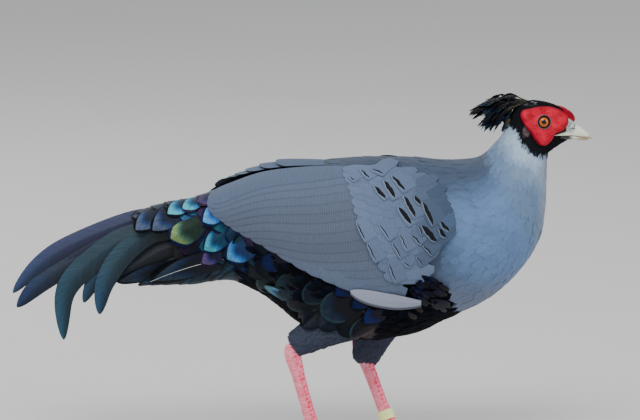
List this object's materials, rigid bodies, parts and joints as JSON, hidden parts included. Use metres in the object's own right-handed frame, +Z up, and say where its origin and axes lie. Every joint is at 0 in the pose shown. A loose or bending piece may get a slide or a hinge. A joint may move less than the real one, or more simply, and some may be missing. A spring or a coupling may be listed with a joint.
{
  "type": "male siamese fireback pheasant, standing",
  "caption": "Life-size still model of a male Siamese fireback: grey neck and wings, red face wattles, wiry crest, blue-black drooping tail.",
  "frame": {"origin": "on the floor, under the centre of the bird's box", "axes": "+X towards the bill, +Y to the bird's left, +Z up"},
  "size_m": [0.5794, 0.149, 0.3481],
  "materials": {
    "plumage_grey": "blue-grey feathers, finely vermiculated",
    "plumage_black": "blue-black feathers with a soft gloss",
    "plumage_blue": "iridescent dark blue-green feathers",
    "bare_red": "bare, finely pimpled red skin",
    "leg_red": "pink-red horny scales",
    "horn": "pale horn",
    "claw_horn": "brownish horn",
    "eye": "wet, glossy",
    "ring_yellow": "semi-gloss yellow-green plastic"
  },
  "bodies": {
    "root": {"bill_lower": "horn", "bill_upper": "horn", "claw_left_hind": "claw_horn", "claw_left_inner": "claw_horn", "claw_left_middle": "claw_horn", "claw_left_outer": "claw_horn", "claw_right_hind": "claw_horn", "claw_right_inner": "claw_horn", "claw_right_middle": "claw_horn", "claw_right_outer": "claw_horn", "crest": "plumage_black", "eye_left": "eye", "eye_right": "eye", "foot_left": "leg_red", "foot_right": "leg_red", "head": "plumage_black", "leg_ring": "ring_yellow", "neck": "plumage_grey", "rump": "plumage_blue", "shank_left": "leg_red", "shank_right": "leg_red", "tail_left": "plumage_blue", "tail_right": "plumage_blue", "thigh_left": "plumage_black", "thigh_right": "plumage_black", "torso": "plumage_grey", "wattle_left": "bare_red", "wattle_right": "bare_red", "wing_left": "plumage_grey", "wing_right": "plumage_grey"}
  },
  "joints": []
}
